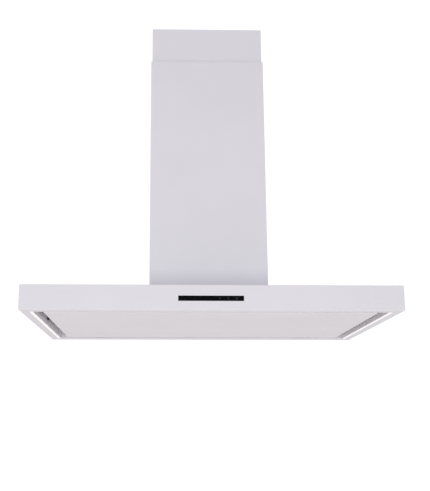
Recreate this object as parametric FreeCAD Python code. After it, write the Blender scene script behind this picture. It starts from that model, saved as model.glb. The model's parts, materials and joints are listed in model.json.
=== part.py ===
"""Island range hood with a telescopic chimney, modelled in millimetres.

The frame has its origin at the centre of the ceiling plate's top face.  +Z points up, the touch
panel faces -Y and +X is to the right of somebody who stands in front of the hood.
"""
import FreeCAD, Part
import math
import os
from FreeCAD import Placement, Rotation, Vector

# ---- driving dimensions ------------------------------------------------------------------

TOTAL_HEIGHT = 793.0            # ceiling to the underside of the canopy, at the lowest setting
HEIGHT_TRAVEL = 330.0           # how much longer the telescopic frame can be set

CANOPY_X = 900.0
CANOPY_Y = 600.0
CANOPY_Z = 60.0
CANOPY_SHEET = 1.2
CANOPY_EDGE_RADIUS = 2.0
RIM_BEND_RADIUS = 2.0           # where the rim turns up into its lip
RIM_SIDE = 20.0                 # rim turned in under the left and right walls
RIM_FRONT = 33.0                # rim turned in under the front and rear walls
RIM_LIP = 12.0                  # upstand along the rim's inner edge
INTAKE_OPENING = 236.0          # square hole in the canopy top, under the blower box

COVER_SHEET = 1.0
COVER_EDGE_RADIUS = 1.5
LOWER_COVER = 300.0             # outside of the square lower cover
LOWER_COVER_LENGTH = 637.0
LOWER_COVER_FLANGE = 8.0
UPPER_COVER = 294.0
UPPER_COVER_LENGTH = 480.0
SEAM_LAP = 15.0                 # strip of the front half that lies behind the rear half
COVER_SCREW_RADIUS = 1.5
COVER_SCREW_HEAD_RADIUS = 2.4

PLATE_SHEET = 2.0
PLATE_FLANGE = 20.0
PLATE_HOLE_SPACING = 230.0
PLATE_HOLE_RADIUS = 4.0
PLATE_OPENING_X = 256.0         # one opening for the duct and, beside it, the mains cable
PLATE_OPENING_Y = 170.0

ANGLE_LEG = 25.0
ANGLE_SHEET = 1.5
UPPER_FRAME = 276.0             # outside of the square formed by the upper uprights
FRAME_GAP = 0.3                 # between the nested uprights
UPPER_UPRIGHT_BOTTOM = -450.0
LOWER_UPRIGHT_TOP = -30.0
CLAMP_SLOT_WIDTH = 6.0
FOOT_REACH = 36.0               # foot of an upper upright under the ceiling plate

BOX_HEIGHT = 225.0              # blower box on the canopy
BOX_SHEET = 1.0
BASE_BOLT_RADIUS = 3.0
BASE_BOLT_HEAD_RADIUS = 5.5
FRAME_SCREW_RADIUS = 2.5

SCROLL_AXIS_Y = -30.0
SCROLL_AXIS_ABOVE_CANOPY = 125.0
SCROLL_START_RADIUS = 84.0
SCROLL_GROWTH = 32.0            # added to the radius from the tongue to the outlet
SCROLL_TONGUE_ANGLE = 70.0
SCROLL_HALF_WIDTH = 65.0
SCROLL_WALL = 1.5
SCROLL_INLET_RADIUS = 62.0

WHEEL_RADIUS = 75.0
WHEEL_INNER_RADIUS = 60.0
WHEEL_HALF_WIDTH = 55.0
WHEEL_BLADES = 36
SHAFT_RADIUS = 4.0
SHAFT_CLEARANCE = 0.05
MOTOR_RADIUS = 42.0

DUCT_RADIUS = 75.0              # outside of the 150 mm duct collar
DUCT_WALL = 1.5
DUCT_COLLAR_LENGTH = 90.0
DUCT_LOFT_HEIGHT = 60.0
FLAP_RADIUS = 71.5
FLAP_SHEET = 1.5
FLAP_PIN_RADIUS = 2.0
FLAP_PIN_ABOVE_LOFT = 8.0

PANEL_X = 798.0
PANEL_Y = 494.0
PANEL_DEPTH = 15.0
PANEL_SHEET = 1.0
PANEL_RECESS = 1.0              # panel face above the rim's face
PANEL_EDGE_RADIUS = 2.0
HINGE_X = 300.0                 # hinge places, left and right of the middle
HINGE_AXIS_Y = 237.0
HINGE_AXIS_ABOVE_RIM = 18.0
HINGE_PIN_RADIUS = 2.0
HINGE_CLEARANCE = 0.08
CATCH_Y = -33.0                 # panel catch on the inner side of each light bar
CATCH_HALF_Y = 4.0
CATCH_REACH = 5.5               # how far it stands out from the light bar
CATCH_BACK = 2.0                # solid part behind the jaw's throat
CATCH_ABOVE_RIM = (13.0, 25.0)
CATCH_STUD_ABOVE_RIM = 19.5
CATCH_STUD_END_GAP = 0.5
CATCH_STUD_RADIUS = 2.0
STUD_PLATE_SHEET = 1.5
STUD_PLATE_HALF_Y = 10.0
CATCH_THROAT_RADIUS = 2.4

LINER_SHEET = 1.0
LINER_ABOVE_RIM = 45.0          # underside of the liner plate
FILTER_X = 250.0
FILTER_Y = 280.0
FILTER_DEPTH = 9.0
FILTER_BORDER = 12.0
FILTER_PITCH = 254.0
FILTER_SEAT = 10.0
LATCH_TRAVEL = 6.0

LIGHT_WIDTH = 10.0
LIGHT_HEIGHT = 12.0             # top of the shelf that the light strip is glued under
LIGHT_SIDE_HEIGHT = 28.0        # side walls, which run on up round the wiring channel
LIGHT_WALL = 1.0
DIFFUSER_SHEET = 1.5

GLASS_X = 153.0
GLASS_Z = 12.0
GLASS_SHEET = 3.0
GLASS_ABOVE_RIM = 28.0
GLASS_GAP = 0.3
GLASS_CENTRE_X = -3.0           # the touch panel sits slightly left of the middle

# ---- derived places ----------------------------------------------------------------------

RIM_Z = -TOTAL_HEIGHT
CANOPY_TOP = RIM_Z + CANOPY_Z
HALF_X = CANOPY_X / 2
HALF_Y = CANOPY_Y / 2
RIM_INNER_X = HALF_X - RIM_SIDE
RIM_INNER_Y = HALF_Y - RIM_FRONT
LINER_WALL_X = RIM_INNER_X + CANOPY_SHEET
LINER_WALL_Y = RIM_INNER_Y + CANOPY_SHEET
LINER_Z = RIM_Z + LINER_ABOVE_RIM
PANEL_Z = RIM_Z + PANEL_RECESS
HINGE_AXIS_Z = RIM_Z + HINGE_AXIS_ABOVE_RIM
STUD_Z = RIM_Z + CATCH_STUD_ABOVE_RIM

UPPER_OUTER = UPPER_FRAME / 2
LOWER_OUTER = UPPER_OUTER - ANGLE_SHEET - FRAME_GAP
BOX_OUTER = LOWER_OUTER - ANGLE_SHEET
BOX_TOP = CANOPY_TOP + BOX_HEIGHT
SCROLL_AXIS_Z = CANOPY_TOP + SCROLL_AXIS_ABOVE_CANOPY
LOFT_TOP = BOX_TOP + DUCT_LOFT_HEIGHT
COLLAR_TOP = LOFT_TOP + DUCT_COLLAR_LENGTH
FLAP_PIN_Z = LOFT_TOP + FLAP_PIN_ABOVE_LOFT
CLAMP_SCREW_HEIGHTS = (LOWER_UPRIGHT_TOP - 15.0, LOWER_UPRIGHT_TOP - 50.0)

X_AXIS = Vector(1, 0, 0)
Y_AXIS = Vector(0, 1, 0)
Z_AXIS = Vector(0, 0, 1)
SIDES = {"left": -1, "right": 1}
CORNERS = {
    "front_left": (-1, -1),
    "front_right": (1, -1),
    "rear_left": (-1, 1),
    "rear_right": (1, 1),
}


# ---- shape helpers -----------------------------------------------------------------------

def box(x_range, y_range, z_range):
    """Box between two limits along each axis, given in any order."""
    low = Vector(min(x_range), min(y_range), min(z_range))
    high = Vector(max(x_range), max(y_range), max(z_range))
    size = high - low
    return Part.makeBox(size.x, size.y, size.z, low)


def block(half_x, half_y, z_range):
    """Box centred on the Z axis."""
    return box((-half_x, half_x), (-half_y, half_y), z_range)


def rod(radius, start, end):
    """Round bar between two points."""
    along = end - start
    return Part.makeCylinder(radius, along.Length, start, along)


def tube(outer_radius, inner_radius, start, end):
    return rod(outer_radius, start, end).cut(rod(inner_radius, start, end))


def prism(points, along):
    """Closed polygon pushed along a vector."""
    outline = Part.makePolygon(points + [points[0]])
    return Part.Face(outline).extrude(along)


def fuse(shapes):
    first, *others = shapes
    if not others:
        return first
    return first.multiFuse(others).removeSplitter()


def cut(shape, tools):
    return shape.cut(list(tools))


def mirrored_x(shape):
    return shape.mirror(Vector(0, 0, 0), X_AXIS)


def mirrored_y(shape):
    return shape.mirror(Vector(0, 0, 0), Y_AXIS)


def to_side(shape, sign_x):
    """A shape drawn on the +X side, moved to the side that the sign names."""
    return shape if sign_x > 0 else mirrored_x(shape)


def to_corner(shape, sign_x, sign_y):
    """A shape drawn in the +X +Y corner, moved to the corner that the signs name."""
    moved = to_side(shape, sign_x)
    return moved if sign_y > 0 else mirrored_y(moved)


def edges_along(shape, axis):
    """Straight edges parallel to an axis."""
    found = []
    for edge in shape.Edges:
        if edge.tangentAt(edge.FirstParameter).cross(axis).Length < 1e-6:
            found.append(edge)
    return found


def pan_head_screw(head_face, direction, shank_radius, shank_length, head_radius, head_height):
    """Screw whose head sits on head_face; direction points from the head into the work."""
    shank = rod(shank_radius, head_face, head_face + direction * shank_length)
    head = rod(head_radius, head_face - direction * head_height, head_face)
    rim = [edge for edge in head.Edges if edge.Closed]
    rim.sort(key=lambda edge: edge.CenterOfMass.dot(direction))
    head = head.makeFillet(head_height * 0.4, rim[:1])
    recess = box((-0.4, 0.4), (-head_radius * 0.6, head_radius * 0.6), (-head_height * 0.5, 0.0))
    cross = fuse([recess, recess.rotated(Vector(0, 0, 0), Z_AXIS, 90)])
    cross.Placement = Placement(head_face - direction * head_height, Rotation(Z_AXIS, -direction))
    return fuse([shank, head]).cut(cross)


def countersunk_screw(face_point, direction, shank_radius, length, head_radius):
    """Screw whose flat head ends flush with face_point."""
    head_height = head_radius - shank_radius
    head = Part.makeCone(head_radius, shank_radius, head_height, face_point, direction)
    shank = rod(shank_radius, face_point, face_point + direction * length)
    return fuse([head, shank])


# ---- ceiling side of the telescopic frame ------------------------------------------------

def ceiling_plate():
    """Plate screwed to the ceiling, with flanges turned down for the upper cover."""
    half = UPPER_COVER / 2 - COVER_SHEET
    outside = block(half, half, (-PLATE_FLANGE, 0))
    outside = outside.makeFillet(ANGLE_SHEET * 1.5, edges_along(outside, Z_AXIS))
    inside = block(half - ANGLE_SHEET, half - ANGLE_SHEET, (-PLATE_FLANGE, -PLATE_SHEET))
    plate = outside.cut(inside)
    reach = PLATE_HOLE_SPACING / 2
    drills = []
    for sign_x, sign_y in CORNERS.values():
        place = Vector(sign_x * reach, sign_y * reach, 0)
        drills.append(rod(PLATE_HOLE_RADIUS, place - Z_AXIS * PLATE_SHEET, place))
    opening = block(PLATE_OPENING_X / 2, PLATE_OPENING_Y / 2, (-PLATE_SHEET, 0))
    opening = opening.makeFillet(20.0, edges_along(opening, Z_AXIS))
    for screw_place, direction in cover_plate_screw_places():
        end = screw_place + direction * (COVER_SHEET + ANGLE_SHEET)
        drills.append(rod(COVER_SCREW_RADIUS, screw_place, end))
    return cut(plate, drills + [opening])


def angle_upright(outer, z_range):
    """Angle section standing in the +X +Y corner, its outer faces at x = y = outer."""
    inner = outer - ANGLE_SHEET
    legs = block(outer, outer, z_range).cut(block(inner, inner, z_range))
    corner = box((outer - ANGLE_LEG, outer), (outer - ANGLE_LEG, outer), z_range)
    legs = legs.common(corner)
    bend = [edge for edge in edges_along(legs, Z_AXIS)
            if edge.CenterOfMass.x > outer - 0.01 and edge.CenterOfMass.y > outer - 0.01]
    return legs.makeFillet(ANGLE_SHEET, bend)


def upper_upright():
    """Upper angle with a long clamp slot in each leg and a foot under the ceiling plate."""
    angle = angle_upright(UPPER_OUTER, (UPPER_UPRIGHT_BOTTOM, -PLATE_SHEET))
    leg_middle = UPPER_OUTER - ANGLE_LEG / 2
    half_slot = CLAMP_SLOT_WIDTH / 2
    slot_top = CLAMP_SCREW_HEIGHTS[0] + 6.0
    slot_bottom = CLAMP_SCREW_HEIGHTS[1] - HEIGHT_TRAVEL - 6.0
    inner = UPPER_OUTER - ANGLE_SHEET
    slot = box((inner, UPPER_OUTER), (leg_middle - half_slot, leg_middle + half_slot),
               (slot_bottom, slot_top))
    slot = slot.makeFillet(half_slot * 0.99, edges_along(slot, X_AXIS))
    other_slot = slot.mirror(Vector(0, 0, 0), Vector(1, -1, 0))
    foot = box((inner - FOOT_REACH, inner), (inner - FOOT_REACH, inner),
               (-PLATE_SHEET - ANGLE_SHEET, -PLATE_SHEET))
    anchor = PLATE_HOLE_SPACING / 2
    foot_hole = rod(PLATE_HOLE_RADIUS, Vector(anchor, anchor, -PLATE_SHEET - ANGLE_SHEET),
                    Vector(anchor, anchor, -PLATE_SHEET))
    return cut(fuse([angle, foot]), [slot, other_slot, foot_hole])


def upper_frame_band():
    """Square band that ties the lower ends of the upper uprights together."""
    z_range = (UPPER_UPRIGHT_BOTTOM, UPPER_UPRIGHT_BOTTOM + 20.0)
    outer = UPPER_OUTER + ANGLE_SHEET
    band = block(outer, outer, z_range)
    band = band.makeFillet(3.0, edges_along(band, Z_AXIS))
    hole = block(UPPER_OUTER, UPPER_OUTER, z_range)
    hole = hole.makeFillet(ANGLE_SHEET, edges_along(hole, Z_AXIS))
    return band.cut(hole)


# ---- chimney covers ----------------------------------------------------------------------

def cover_halves(width, z_range, lap_top, flange=0.0):
    """Front and rear half of a square sheet cover; the front half carries the seam laps."""
    half = width / 2
    inner = half - COVER_SHEET
    outside = block(half, half, z_range)
    outside = outside.makeFillet(COVER_EDGE_RADIUS, edges_along(outside, Z_AXIS))
    inside = block(inner, inner, z_range)
    inside = inside.makeFillet(COVER_EDGE_RADIUS - COVER_SHEET, edges_along(inside, Z_AXIS))
    walls = outside.cut(inside)
    if flange:
        bottom = (min(z_range), min(z_range) + COVER_SHEET)
        ring = block(inner, inner, bottom).cut(block(inner - flange, inner - flange, bottom))
        walls = fuse([walls, ring])
    front = walls.common(box((-half, half), (-half, 0), z_range))
    rear = walls.common(box((-half, half), (0, half), z_range))
    lap_z = (min(z_range) + COVER_SHEET, lap_top)
    laps = [box((side * inner, side * (inner - COVER_SHEET)), (-SEAM_LAP, SEAM_LAP), lap_z)
            for side in SIDES.values()]
    return fuse([front] + laps), rear


def seam_screw_places(width, heights):
    """Where the seam screws sit on the outer side faces, and which way they point."""
    places = []
    for side in SIDES.values():
        for height in heights:
            places.append((Vector(side * width / 2, SEAM_LAP / 2, height), X_AXIS * -side))
    return places


def cover_plate_screw_places():
    """Screws that hold the upper cover on the ceiling plate's side flanges."""
    places = []
    for side in SIDES.values():
        for y in (-100.0, 100.0):
            place = Vector(side * UPPER_COVER / 2, y, -PLATE_FLANGE * 0.6)
            places.append((place, X_AXIS * -side))
    return places


def cover_screw(place, direction, grip):
    return countersunk_screw(place, direction, COVER_SCREW_RADIUS, grip, COVER_SCREW_HEAD_RADIUS)


UPPER_SEAM_HEIGHTS = (-60.0, -250.0, -430.0)
LOWER_COVER_Z = (CANOPY_TOP, CANOPY_TOP + LOWER_COVER_LENGTH)
LOWER_SEAM_HEIGHTS = tuple(CANOPY_TOP + rise for rise in (40.0, 230.0, 420.0, 600.0))


def upper_cover():
    """Both halves, with screw holes and vent slots near the lower end of each side."""
    screws = [cover_screw(place, direction, COVER_SHEET * 2)
              for place, direction in seam_screw_places(UPPER_COVER, UPPER_SEAM_HEIGHTS)]
    screws += [cover_screw(place, direction, COVER_SHEET + ANGLE_SHEET)
               for place, direction in cover_plate_screw_places()]
    vents = []
    for side in SIDES.values():
        for row in range(4):
            for y in (-80.0, 80.0):
                z = -UPPER_COVER_LENGTH + 14.0 + 8.0 * row
                slot = box((side * UPPER_COVER / 2, side * (UPPER_COVER / 2 - 2 * COVER_SHEET)),
                           (y - 45.0, y + 45.0), (z, z + 3.0))
                vents.append(slot)
    halves = cover_halves(UPPER_COVER, (-UPPER_COVER_LENGTH, 0), -PLATE_FLANGE)
    return [cut(half, screws + vents) for half in halves] + [Part.makeCompound(screws)]


def lower_cover():
    """Both halves, with a flange turned in at the foot, and the seam screws."""
    screws = [cover_screw(place, direction, COVER_SHEET * 2)
              for place, direction in seam_screw_places(LOWER_COVER, LOWER_SEAM_HEIGHTS)]
    halves = cover_halves(LOWER_COVER, LOWER_COVER_Z, LOWER_COVER_Z[1], LOWER_COVER_FLANGE)
    return [cut(half, screws) for half in halves] + [Part.makeCompound(screws)]


# ---- hood side of the telescopic frame ---------------------------------------------------

def clamp_screw_places():
    """One place per clamp screw on the +X leg of the +X +Y corner."""
    leg_middle = UPPER_OUTER - ANGLE_LEG / 2
    return [Vector(UPPER_OUTER, leg_middle, height) for height in CLAMP_SCREW_HEIGHTS]


def frame_screw_places():
    """Screws from the lower uprights into the blower box, on the same leg."""
    leg_middle = LOWER_OUTER - ANGLE_LEG / 2
    return [Vector(LOWER_OUTER, leg_middle, CANOPY_TOP + rise) for rise in (30.0, 190.0)]


def lower_upright():
    angle = angle_upright(LOWER_OUTER, (CANOPY_TOP, LOWER_UPRIGHT_TOP))
    drills = []
    for place in clamp_screw_places() + frame_screw_places():
        end = place - X_AXIS * (UPPER_FRAME / 2 - BOX_OUTER + 1.0)
        hole = rod(FRAME_SCREW_RADIUS, place, end)
        drills.append(hole)
        drills.append(hole.mirror(Vector(0, 0, 0), Vector(1, -1, 0)))
    return cut(angle, drills)


def screws_in_every_leg(screws):
    """Copies of the +X +Y corner's screws in both legs of all four corners."""
    pair = []
    for screw in screws:
        pair.append(screw)
        pair.append(screw.mirror(Vector(0, 0, 0), Vector(1, -1, 0)))
    group = [to_corner(screw, *signs) for signs in CORNERS.values() for screw in pair]
    return Part.makeCompound(group)


def height_clamp_screws():
    """Screws through the upper slots into the lower uprights."""
    reach = ANGLE_SHEET + FRAME_GAP + ANGLE_SHEET + 3.0
    screws = []
    for place in clamp_screw_places():
        head_face = place + X_AXIS * FRAME_GAP
        screws.append(pan_head_screw(head_face, -X_AXIS, FRAME_SCREW_RADIUS, reach, 4.5, 2.6))
    return screws_in_every_leg(screws)


def frame_screws():
    screws = []
    for place in frame_screw_places():
        reach = ANGLE_SHEET + BOX_SHEET + 3.0
        screws.append(pan_head_screw(place, -X_AXIS, FRAME_SCREW_RADIUS, reach, 4.5, 2.4))
    return screws_in_every_leg(screws)


def base_bolt_places():
    """Bolts through the blower box's foot flange into the canopy."""
    edge = BOX_OUTER - 8.5
    spread = (-80.0, 0.0, 80.0)
    places = [Vector(x, side * edge, CANOPY_TOP + BOX_SHEET) for side in (-1, 1) for x in spread]
    return places + [Vector(side * edge, 0.0, CANOPY_TOP + BOX_SHEET) for side in (-1, 1)]


def hexagon(centre, corner_radius):
    """Corners of a level hexagon."""
    corners = []
    for angle in range(0, 360, 60):
        turn = math.radians(angle)
        corners.append(centre + Vector(corner_radius * math.cos(turn), corner_radius * math.sin(turn), 0))
    return corners


def base_bolts():
    """Hexagon-head bolts, each with its nut under the canopy top."""
    bolts = []
    for place in base_bolt_places():
        under = place - Z_AXIS * (BOX_SHEET + CANOPY_SHEET)
        head = prism(hexagon(place, BASE_BOLT_HEAD_RADIUS), Z_AXIS * 3.5)
        shank = rod(BASE_BOLT_RADIUS, place, under - Z_AXIS * 5.0)
        nut = prism(hexagon(under, BASE_BOLT_HEAD_RADIUS), -Z_AXIS * 4.0)
        bolts.append(fuse([head, shank, nut]))
    return Part.makeCompound(bolts)


def blower_box():
    """Galvanised box on the canopy: four walls, a top plate and a foot flange turned in."""
    outer = block(BOX_OUTER, BOX_OUTER, (CANOPY_TOP, BOX_TOP))
    inner = BOX_OUTER - BOX_SHEET
    hollow = block(inner, inner, (CANOPY_TOP + BOX_SHEET, BOX_TOP - BOX_SHEET))
    mouth = INTAKE_OPENING / 2
    intake = block(mouth, mouth, (CANOPY_TOP, CANOPY_TOP + BOX_SHEET))
    outlet_x, outlet_y = outlet_limits()
    outlet = box(outlet_x, outlet_y, (BOX_TOP - BOX_SHEET, BOX_TOP))
    drills = [intake, hollow, outlet]
    for place in base_bolt_places():
        drills.append(rod(BASE_BOLT_RADIUS, place - Z_AXIS * BOX_SHEET, place))
    for place in frame_screw_places():
        end = place - X_AXIS * (ANGLE_SHEET + BOX_SHEET)
        hole = rod(FRAME_SCREW_RADIUS, place, end)
        for shape in (hole, hole.mirror(Vector(0, 0, 0), Vector(1, -1, 0))):
            drills += [to_corner(shape, *signs) for signs in CORNERS.values()]
    return cut(outer, drills)


# ---- canopy ------------------------------------------------------------------------------

def hollow_with_radius(half_x, half_y, z_range, radius):
    """Block whose edges are all rounded by the same radius."""
    solid = block(half_x, half_y, z_range)
    return solid.makeFillet(radius, solid.Edges)


def canopy_shell():
    """Folded and welded sheet canopy, open underneath inside its rim."""
    skin = CANOPY_SHEET
    outer = hollow_with_radius(HALF_X, HALF_Y, (RIM_Z, CANOPY_TOP), CANOPY_EDGE_RADIUS)
    inner = hollow_with_radius(HALF_X - skin, HALF_Y - skin, (RIM_Z + skin, CANOPY_TOP - skin),
                               CANOPY_EDGE_RADIUS - skin)
    shell = outer.cut(inner)
    mouth = block(RIM_INNER_X, RIM_INNER_Y, (RIM_Z, RIM_Z + skin))
    lip_z = (RIM_Z + skin, RIM_Z + RIM_LIP)
    lips = block(RIM_INNER_X + skin, RIM_INNER_Y + skin, lip_z)
    lips = lips.cut(block(RIM_INNER_X, RIM_INNER_Y, lip_z))
    intake_half = INTAKE_OPENING / 2
    intake = block(intake_half, intake_half, (CANOPY_TOP - skin, CANOPY_TOP))
    drills = [mouth, intake, glass_window()]
    for place in base_bolt_places():
        top = Vector(place.x, place.y, CANOPY_TOP)
        drills.append(rod(BASE_BOLT_RADIUS, top - Z_AXIS * skin, top))
    folded = fuse([cut(shell, drills), lips])
    bend = [edge for edge in folded.Edges if on_rim_mouth(edge)]
    return folded.makeFillet(RIM_BEND_RADIUS, bend)


def on_rim_mouth(edge):
    """True for the straight edges round the rim's mouth, in the rim's own plane."""
    limits = edge.BoundBox
    inside_x = max(abs(limits.XMin), abs(limits.XMax)) < RIM_INNER_X + 0.01
    inside_y = max(abs(limits.YMin), abs(limits.YMax)) < RIM_INNER_Y + 0.01
    return inside_x and inside_y and limits.ZMax < RIM_Z + 0.01


def glass_window():
    """Window in the front wall for the touch panel."""
    half_x = GLASS_X / 2 + GLASS_GAP
    half_z = GLASS_Z / 2 + GLASS_GAP
    middle = RIM_Z + GLASS_ABOVE_RIM
    window = box((-half_x, half_x), (-HALF_Y, -HALF_Y + CANOPY_SHEET), (middle - half_z, middle + half_z))
    return at_touch_panel(window)


def at_touch_panel(shape):
    """A shape drawn about x = 0, moved to the touch panel's middle."""
    return shape.translated(X_AXIS * GLASS_CENTRE_X)


def filter_centre(side):
    return side * FILTER_PITCH / 2


def inner_liner():
    """Inverted tray inside the canopy, spot-welded from flat strips that leave an opening over each
    grease filter. Strips meet edge to edge."""
    outer_x = LINER_WALL_X + LINER_SHEET
    outer_y = LINER_WALL_Y + LINER_SHEET
    wall_z = (RIM_Z + CANOPY_SHEET, LINER_Z)
    plate_z = (LINER_Z, LINER_Z + LINER_SHEET)
    opening_half_x = FILTER_X / 2 - FILTER_SEAT
    opening_half_y = FILTER_Y / 2 - FILTER_SEAT
    opening_inner = FILTER_PITCH / 2 - opening_half_x
    opening_outer = FILTER_PITCH / 2 + opening_half_x
    strips = [box((-opening_inner, opening_inner), (-opening_half_y, opening_half_y), plate_z)]
    for sign in (-1, 1):
        wall_y = (sign * LINER_WALL_Y, sign * outer_y)
        plate_y = (sign * opening_half_y, sign * outer_y)
        wall_x = (sign * LINER_WALL_X, sign * outer_x)
        plate_x = (sign * opening_outer, sign * outer_x)
        strips.append(box((-LINER_WALL_X, LINER_WALL_X), wall_y, wall_z))
        strips.append(box((-outer_x, outer_x), plate_y, plate_z))
        strips.append(box(wall_x, (-outer_y, outer_y), wall_z))
        strips.append(box(plate_x, (-opening_half_y, opening_half_y), plate_z))
    return Part.makeCompound(strips)


def filter_channels():
    """Sheet channels under the liner plate: the rear one carries the filters' edge, the front one
    takes their latches."""
    inside = FILTER_Y / 2 + 1.0
    reach = FILTER_PITCH / 2 + FILTER_X / 2
    foot_z = LINER_Z - FILTER_DEPTH - 2.0
    rear_leg = box((-reach, reach), (inside, inside + LINER_SHEET), (foot_z, LINER_Z))
    rear_foot = box((-reach, reach), (inside - 8.0, inside + LINER_SHEET), (foot_z, foot_z + LINER_SHEET))
    front_leg = box((-reach, reach), (-inside - LINER_SHEET, -inside), (foot_z, LINER_Z))
    keepers = []
    for side in SIDES.values():
        x = filter_centre(side)
        keepers.append(box((x - 9.0, x + 9.0), (-inside - LINER_SHEET, -inside),
                           (tongue_z()[0] - 0.5, tongue_z()[1] + 0.5)))
    return Part.makeCompound([fuse([rear_leg, rear_foot]), cut(front_leg, keepers)])


def light_profile():
    """H-shaped aluminium bar along the rim on the +X side: light below, wires above the shelf."""
    inner = RIM_INNER_X - LIGHT_WIDTH
    along = (-RIM_INNER_Y, RIM_INNER_Y)
    between_walls = (inner + LIGHT_WALL, RIM_INNER_X - LIGHT_WALL)
    shelf_top = RIM_Z + LIGHT_HEIGHT
    top = RIM_Z + LIGHT_SIDE_HEIGHT
    outside = box((inner, RIM_INNER_X), along, (RIM_Z, top))
    light_channel = box(between_walls, along, (RIM_Z, shelf_top - LIGHT_WALL))
    wire_channel = box(between_walls, along, (shelf_top, top))
    return cut(outside, [light_channel, wire_channel])


def light_strip():
    """Flexible board with its row of light-emitting chips facing down."""
    middle = RIM_INNER_X - LIGHT_WIDTH / 2
    top = RIM_Z + LIGHT_HEIGHT - LIGHT_WALL
    half_length = RIM_INNER_Y - 3.0
    board = box((middle - 3.5, middle + 3.5), (-half_length, half_length), (top - 1.0, top))
    chip_pitch = 22.0
    chip_count = int(2 * half_length / chip_pitch)
    chips = []
    for index in range(chip_count):
        y = (index - (chip_count - 1) / 2) * chip_pitch
        chips.append(box((middle - 1.75, middle + 1.75), (y - 1.4, y + 1.4), (top - 1.8, top - 1.0)))
    return fuse([board] + chips)


def light_diffuser():
    inner = RIM_INNER_X - LIGHT_WIDTH + LIGHT_WALL
    outer = RIM_INNER_X - LIGHT_WALL
    cover = box((inner, outer), (-RIM_INNER_Y, RIM_INNER_Y), (RIM_Z, RIM_Z + DIFFUSER_SHEET))
    hooks = []
    for x_range in ((inner, inner + 0.8), (outer - 0.8, outer)):
        hooks.append(box(x_range, (-RIM_INNER_Y, RIM_INNER_Y),
                         (RIM_Z + DIFFUSER_SHEET, RIM_Z + DIFFUSER_SHEET + 3.0)))
    return fuse([cover] + hooks)


# ---- touch control -----------------------------------------------------------------------

def control_glass():
    middle = RIM_Z + GLASS_ABOVE_RIM
    glass = box((-GLASS_X / 2, GLASS_X / 2), (-HALF_Y, -HALF_Y + GLASS_SHEET),
                (middle - GLASS_Z / 2, middle + GLASS_Z / 2))
    front = [edge for edge in glass.Edges if edge.CenterOfMass.y < -HALF_Y + 0.01]
    return at_touch_panel(glass.makeChamfer(0.4, front))


def touch_board():
    """Circuit board behind the glass, with four spring electrodes and a plug socket."""
    middle = RIM_Z + GLASS_ABOVE_RIM
    front = -HALF_Y + GLASS_SHEET + 2.5
    board = box((-72.0, 72.0), (front, front + 1.6), (middle - 5.5, middle + 5.5))
    electrodes = []
    for index in range(4):
        x = index * 20.0
        electrodes.append(rod(3.0, Vector(x, front - 2.5, middle), Vector(x, front, middle)))
    socket = box((-60.0, -48.0), (front + 1.6, front + 6.0), (middle - 3.0, middle + 3.0))
    return at_touch_panel(fuse([board, socket] + electrodes))


def touch_board_holder():
    """Plastic tray glued behind the front wall; it carries the glass and the board."""
    middle = RIM_Z + GLASS_ABOVE_RIM
    front = -HALF_Y + CANOPY_SHEET
    body = box((-84.0, 84.0), (front, front + 14.0), (middle - 11.0, middle + 11.0))
    body = body.makeFillet(2.0, edges_along(body, Y_AXIS))
    half_x = GLASS_X / 2 + GLASS_GAP
    half_z = GLASS_Z / 2 + GLASS_GAP
    pocket = box((-half_x, half_x), (front, front + 12.5), (middle - half_z, middle + half_z))
    wire_exit = box((-40.0, -32.0), (front + 12.5, front + 14.0), (middle - 3.0, middle + 3.0))
    return at_touch_panel(cut(body, [pocket, wire_exit]))


# ---- blower ------------------------------------------------------------------------------

def spiral_point(angle, extra, x):
    """Point on the scroll at an angle from +Y towards +Z, extra millimetres outside it."""
    turned = (angle - SCROLL_TONGUE_ANGLE) / (360.0 - SCROLL_TONGUE_ANGLE)
    radius = SCROLL_START_RADIUS + SCROLL_GROWTH * turned + extra
    turn = math.radians(angle)
    return Vector(x, SCROLL_AXIS_Y + radius * math.cos(turn), SCROLL_AXIS_Z + radius * math.sin(turn))


def outlet_limits():
    """Inside of the scroll's outlet, along X and along Y."""
    tongue = spiral_point(SCROLL_TONGUE_ANGLE, 0.0, 0.0)
    far = spiral_point(360.0, 0.0, 0.0)
    return (-SCROLL_HALF_WIDTH, SCROLL_HALF_WIDTH), (tongue.y, far.y)


def scroll_solid(extra, half_width, top):
    """Spiral with its straight outlet, filled, between x = -half_width and +half_width."""
    start_radius = SCROLL_START_RADIUS + extra
    tongue_y = outlet_limits()[1][0] - SCROLL_AXIS_Y - extra
    start_angle = math.degrees(math.acos(tongue_y / start_radius))
    steps = 24
    angles = [start_angle + (360.0 - start_angle) * step / steps for step in range(steps + 1)]
    points = [spiral_point(angle, extra, -half_width) for angle in angles]
    curve = Part.BSplineCurve()
    curve.interpolate(points)
    first, last = points[0], points[-1]
    upper_right = Vector(last.x, last.y, top)
    upper_left = Vector(first.x, first.y, top)
    edges = [curve.toShape(), Part.makeLine(last, upper_right),
             Part.makeLine(upper_right, upper_left), Part.makeLine(upper_left, first)]
    return Part.Face(Part.Wire(edges)).extrude(X_AXIS * 2 * half_width)


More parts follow.
